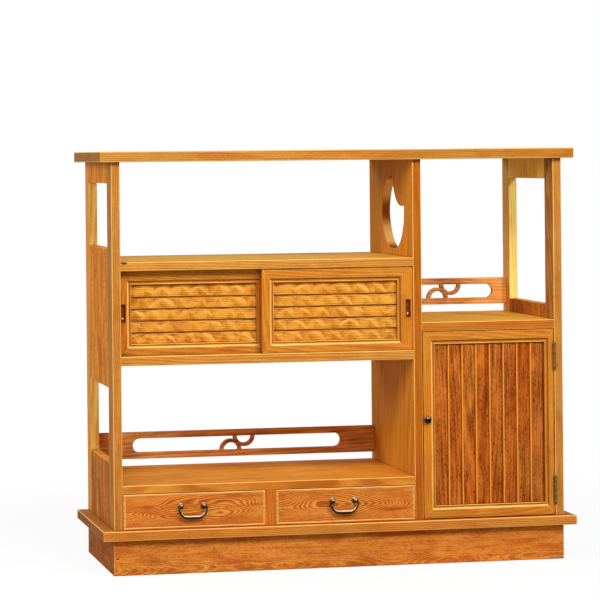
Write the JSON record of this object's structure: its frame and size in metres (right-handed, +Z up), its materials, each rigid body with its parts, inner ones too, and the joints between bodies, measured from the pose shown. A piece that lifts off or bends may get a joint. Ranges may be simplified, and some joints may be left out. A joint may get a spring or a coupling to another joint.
{
  "type": "japanese tea cabinet",
  "caption": "Low tea cabinet with open bays, two sliding slatted doors, a hinged boarded door, two small drawers, fretwork rails and a shaped cut-out in its divider.",
  "frame": {"origin": "on the floor, under the middle of the cabinet's outline", "axes": "+X along the width to the right as seen from the front, +Y from the front to the back, +Z up"},
  "size_m": [1.06, 0.42, 0.915],
  "materials": {
    "case_wood": "clear lacquer, satin",
    "fret_wood": "clear lacquer, satin",
    "slat_wood": "clear lacquer, satin",
    "frame_wood": "clear lacquer, satin",
    "drawer_wood": "clear lacquer, satin",
    "inner_wood": "bare",
    "pale_wood": "clear lacquer, satin",
    "dark_wood": "dark lacquer, satin",
    "dark_bronze": "dark patina",
    "hinge_brass": "aged",
    "plate_steel": "brushed"
  },
  "bodies": {
    "case": {"top_board": "case_wood", "base_slab": "case_wood", "plinth_front": "case_wood", "plinth_back": "inner_wood", "plinth_ends": "case_wood", "plinth_blocks": "inner_wood", "left_front_stile": "case_wood", "left_back_stile": "case_wood", "left_top_rail": "case_wood", "left_middle_panel": "case_wood", "left_lower_panel": "case_wood", "right_front_stile": "case_wood", "right_back_stile": "case_wood", "right_top_rail": "case_wood", "right_lower_panel": "case_wood", "divider": "case_wood", "drawer_shelf": "case_wood", "sill_shelf": "case_wood", "upper_shelf": "case_wood", "right_shelf": "case_wood", "left_fret_rail": "fret_wood", "right_fret_rail": "fret_wood", "drawer_mullion": "case_wood", "drawer_partition": "inner_wood", "drawer_stops": "inner_wood", "back_panels": "inner_wood", "door_catch": "dark_wood", "hinge_frame_leaves": "hinge_brass", "hinge_pins": "hinge_brass"},
    "rear_door": {"rear_door_left_stile": "frame_wood", "rear_door_right_stile": "frame_wood", "rear_door_rails": "frame_wood", "rear_door_slats": "slat_wood", "rear_door_pull": "dark_wood", "rear_door_pull_pin": "pale_wood"},
    "front_door": {"front_door_left_stile": "frame_wood", "front_door_right_stile": "frame_wood", "front_door_rails": "frame_wood", "front_door_slats": "slat_wood", "front_door_pull": "dark_wood", "front_door_pull_pin": "pale_wood"},
    "cupboard_door": {"door_left_stile": "frame_wood", "door_right_stile": "frame_wood", "door_rails": "frame_wood", "door_uprights": "slat_wood", "door_knob": "dark_bronze", "hinge_door_leaves": "hinge_brass", "door_catch_plate": "plate_steel"},
    "left_drawer": {"left_drawer_front": "drawer_wood", "left_drawer_beads": "pale_wood", "left_drawer_box": "inner_wood", "left_handle_posts": "dark_bronze"},
    "right_drawer": {"right_drawer_front": "drawer_wood", "right_drawer_beads": "pale_wood", "right_drawer_box": "inner_wood", "right_handle_posts": "dark_bronze"},
    "left_bail": {"left_bail": "dark_bronze"},
    "right_bail": {"right_bail": "dark_bronze"}
  },
  "joints": [
    {"name": "rear_door_slide", "type": "slide", "parent": "case", "child": "rear_door", "axis": [1, 0, 0], "range_m": [0, 0.311]},
    {"name": "front_door_slide", "type": "slide", "parent": "case", "child": "front_door", "axis": [-1, 0, 0], "range_m": [0, 0.311]},
    {"name": "cupboard_door_hinge", "type": "hinge", "parent": "case", "child": "cupboard_door", "pos_m": [0.4849, -0.1982, 0.305], "axis": [0, 0, 1], "range_deg": [0, 170]},
    {"name": "left_drawer_slide", "type": "slide", "parent": "case", "child": "left_drawer", "axis": [0, -1, 0], "range_m": [0, 0.25]},
    {"name": "right_drawer_slide", "type": "slide", "parent": "case", "child": "right_drawer", "axis": [0, -1, 0], "range_m": [0, 0.25]},
    {"name": "left_handle_swing", "type": "hinge", "parent": "left_drawer", "child": "left_bail", "pos_m": [-0.334, -0.2045, 0.147], "axis": [-1, 0, 0], "range_deg": [0, 90]},
    {"name": "right_handle_swing", "type": "hinge", "parent": "right_drawer", "child": "right_bail", "pos_m": [0.002, -0.2045, 0.147], "axis": [-1, 0, 0], "range_deg": [0, 90]}
  ]
}
